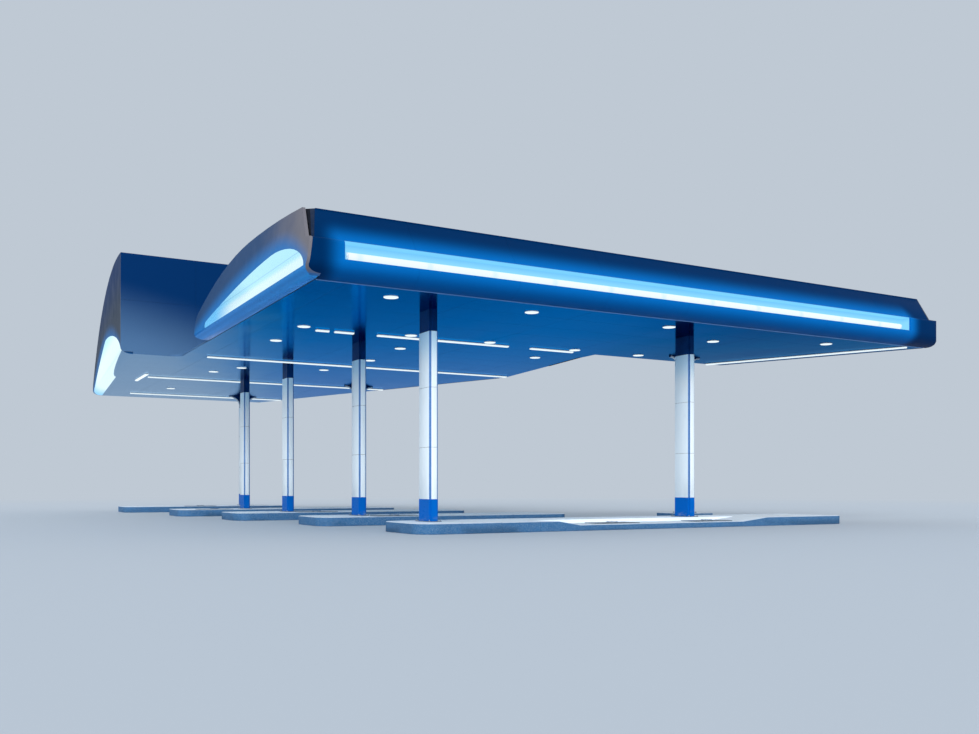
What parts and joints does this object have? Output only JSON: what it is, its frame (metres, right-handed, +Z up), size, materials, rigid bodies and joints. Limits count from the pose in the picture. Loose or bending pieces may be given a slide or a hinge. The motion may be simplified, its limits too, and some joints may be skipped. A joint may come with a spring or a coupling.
{
  "type": "filling station canopy",
  "caption": "L-shaped filling station canopy with two arched wings, a lit front fascia, end lights, a glossy soffit, blade columns and raised islands.",
  "frame": {"origin": "on the ground, at the middle of the base of the bounding box", "axes": "+X to the right along the front fascia, +Y to the back, +Z up"},
  "size_m": [20, 27.249, 8.2],
  "materials": {
    "kerb_concrete": "cast, sealed",
    "slab_concrete": "floated, fine grit",
    "base_steel": "galvanised plate",
    "steel": "primer, matt",
    "column_white": "powder coat, satin",
    "sleeve_blue": "enamel, gloss",
    "collar_navy": "powder coat, satin",
    "bracket_pale": "powder coat, satin",
    "soffit_blue": "coil coat, gloss",
    "roof_grey": "coil coat, satin",
    "fascia_navy": "composite panel, satin",
    "corner_grey": "powder coat, satin",
    "tray_blue": "enamel reflector, gloss",
    "diffuser": "opal acrylic, lit",
    "cheek_grey": "composite panel, satin",
    "face_blue": "composite panel, satin"
  },
  "bodies": {
    "root": {"kerb_1": "kerb_concrete", "kerb_2": "kerb_concrete", "kerb_3": "kerb_concrete", "kerb_4": "kerb_concrete", "kerb_5": "kerb_concrete", "column_pad": "kerb_concrete", "island_slabs": "slab_concrete", "equipment_bases": "base_steel", "column_cores": "steel", "steel_beams": "steel", "front_ribs": "steel", "back_ribs": "steel", "column_1": "column_white", "column_2": "column_white", "column_3": "column_white", "column_4": "column_white", "column_5": "column_white", "column_6": "column_white", "column_7": "column_white", "column_8": "column_white", "base_sleeves": "sleeve_blue", "head_collars": "collar_navy", "head_brackets": "bracket_pale", "soffit_front": "soffit_blue", "soffit_bar": "soffit_blue", "soffit_back": "soffit_blue", "edge_trim": "soffit_blue", "front_roof": "roof_grey", "bar_roof": "roof_grey", "back_roof": "roof_grey", "valley_roof": "roof_grey", "fascia_upper": "fascia_navy", "fascia_lower": "fascia_navy", "fascia_corners": "corner_grey", "light_tray": "tray_blue", "light_tube": "diffuser", "front_lens": "diffuser", "end_lens": "diffuser", "back_left_lens": "diffuser", "back_right_lens": "diffuser", "soffit_strips": "diffuser", "downlights": "diffuser", "front_cheek": "cheek_grey", "end_cheek": "cheek_grey", "step_cheek": "cheek_grey", "back_left_cheek": "cheek_grey", "back_right_cheek": "cheek_grey", "back_wing_face": "face_blue"}
  },
  "joints": []
}
